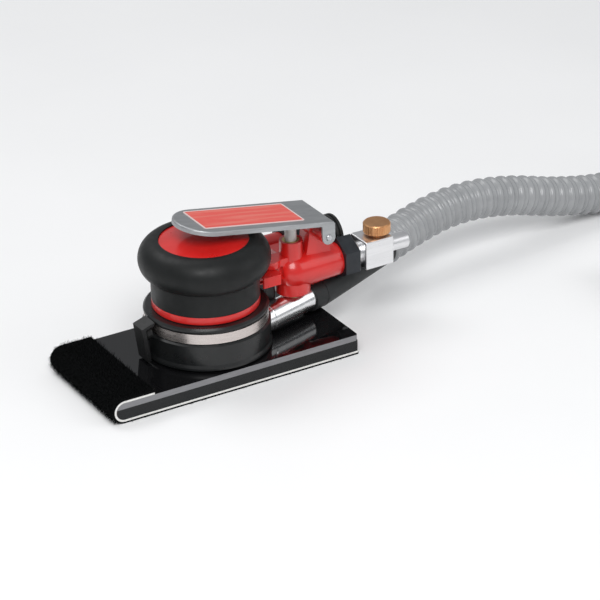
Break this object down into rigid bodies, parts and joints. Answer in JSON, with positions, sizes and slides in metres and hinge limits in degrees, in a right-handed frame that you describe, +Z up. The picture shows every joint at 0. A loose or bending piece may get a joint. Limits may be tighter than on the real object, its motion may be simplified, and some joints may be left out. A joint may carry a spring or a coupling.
{
  "type": "orbital sander",
  "caption": "Air-powered palm orbital sander with a long rectangular hook-faced pad, throttle lever, silencer, dust shroud and ribbed extraction hose.",
  "frame": {"origin": "on the motor axis, at the underside of the pad", "axes": "+Z up along the motor axis, +X from the pad's wrapped nose to the air inlet, +Y towards the silencer side"},
  "size_m": [0.5903, 0.2623, 0.0902],
  "materials": {
    "red_paint": "glossy enamel on cast aluminium",
    "grip_rubber": "soft matte moulded rubber",
    "cast_iron_plate": "ground",
    "tool_steel": "ground and hardened",
    "bearing_steel": "ground and polished",
    "shroud_rubber": "smooth semi-gloss moulded rubber",
    "band_steel": "rolled stainless strip",
    "fastener_steel": "plated",
    "black_plastic": "fine moulded texture",
    "valve_brass": "turned",
    "seal_rubber": "smooth",
    "spring_steel": "drawn wire and stamped rings",
    "black_steel": "black oxide",
    "block_nickel": "bright nickel plate",
    "felt": "pressed felt",
    "polished_aluminium": "polished",
    "adapter_rubber": "moulded, slightly dusty",
    "hose_grey": "ribbed soft vinyl",
    "lever_steel": "satin pressed sheet",
    "label_film": "printed film with a pale border",
    "white_nylon": "natural nylon",
    "vane_plastic": "laminated resin",
    "plate_black": "mirror-gloss black coat",
    "pad_foam": "closed-cell foam",
    "hook_white": "woven backing",
    "hook_black": "dense hook nap",
    "red_plastic": "moulded",
    "knob_brass": "knurled"
  },
  "bodies": {
    "housing": {"housing": "red_paint", "grip_cover": "grip_rubber", "upper_end_plate": "cast_iron_plate", "cylinder_liner": "tool_steel", "lower_end_plate": "cast_iron_plate", "lock_ring": "tool_steel", "motor_dowel": "tool_steel", "upper_bearing": "bearing_steel", "lower_bearing": "bearing_steel", "shroud": "shroud_rubber", "clamp_band": "band_steel", "clamp_lugs": "band_steel", "clamp_screw": "fastener_steel", "front_stop_bracket": "black_plastic", "front_stop_boss": "black_plastic", "valve_bushing": "valve_brass", "valve_seat": "seal_rubber", "valve_plug": "valve_brass", "valve_spring": "spring_steel", "lever_pin": "fastener_steel", "inlet_bushing": "black_steel", "inlet_strainer": "valve_brass", "regulator_block": "block_nickel", "air_plug": "block_nickel", "muffler_barrel": "black_plastic", "muffler_cap": "black_plastic", "muffler_felt": "felt", "dust_tube": "polished_aluminium", "adapter_collar": "adapter_rubber", "hose_adapter": "adapter_rubber", "hose_tube": "hose_grey", "hose_coil": "hose_grey", "hose_cuff": "adapter_rubber"},
    "lever": {"throttle_lever": "lever_steel", "lever_label": "label_film"},
    "valve": {"valve_pin": "white_nylon", "valve_poppet": "valve_brass"},
    "rotor": {"rotor": "tool_steel", "rotor_vanes": "vane_plastic", "rotor_key": "tool_steel", "eccentric_shaft": "tool_steel", "hub_snap_ring": "spring_steel", "orbit_bearing": "bearing_steel"},
    "pad": {"pad_plate": "plate_black", "pad_foam": "pad_foam", "hook_backing": "hook_white", "hook_nap": "hook_black", "pad_spindle": "tool_steel", "pad_screws": "fastener_steel", "spindle_snap_ring": "spring_steel"},
    "speed_control": {"speed_spool": "valve_brass", "speed_tab": "red_plastic"},
    "flow_knob": {"flow_knob": "knob_brass", "knob_seal": "seal_rubber"}
  },
  "joints": [
    {"name": "lever_press", "type": "hinge", "parent": "housing", "child": "lever", "pos_m": [0.0697, 0, 0.0655], "axis": [0, -1, 0], "range_deg": [0, 4.5], "stiffness_Nm_per_rad": 3, "springref_deg": -5.73},
    {"name": "valve_travel", "type": "slide", "parent": "housing", "child": "valve", "axis": [0, 0, -1], "range_m": [0, 0.0013], "deforming": ["valve_spring"]},
    {"name": "rotor_spin", "type": "hinge", "parent": "housing", "child": "rotor", "pos_m": [0, 0, 0.05], "axis": [0, 0, 1], "continuous": true},
    {"name": "pad_orbit", "type": "hinge", "parent": "rotor", "child": "pad", "pos_m": [-0.002, 0, 0.025], "axis": [0, 0, 1], "continuous": true},
    {"name": "speed_turn", "type": "hinge", "parent": "housing", "child": "speed_control", "pos_m": [0.041, 0, 0.047], "axis": [0, 0, 1], "range_deg": [0, 25]},
    {"name": "flow_turn", "type": "hinge", "parent": "housing", "child": "flow_knob", "pos_m": [0.1116, 0, 0.05], "axis": [0, 0, 1], "range_deg": [0, 360]}
  ],
  "couplings": [
    {"joint": "valve_travel", "follows": "lever_press", "m_per_rad": 0.0147},
    {"joint": "pad_orbit", "follows": "rotor_spin", "ratio": -1}
  ]
}
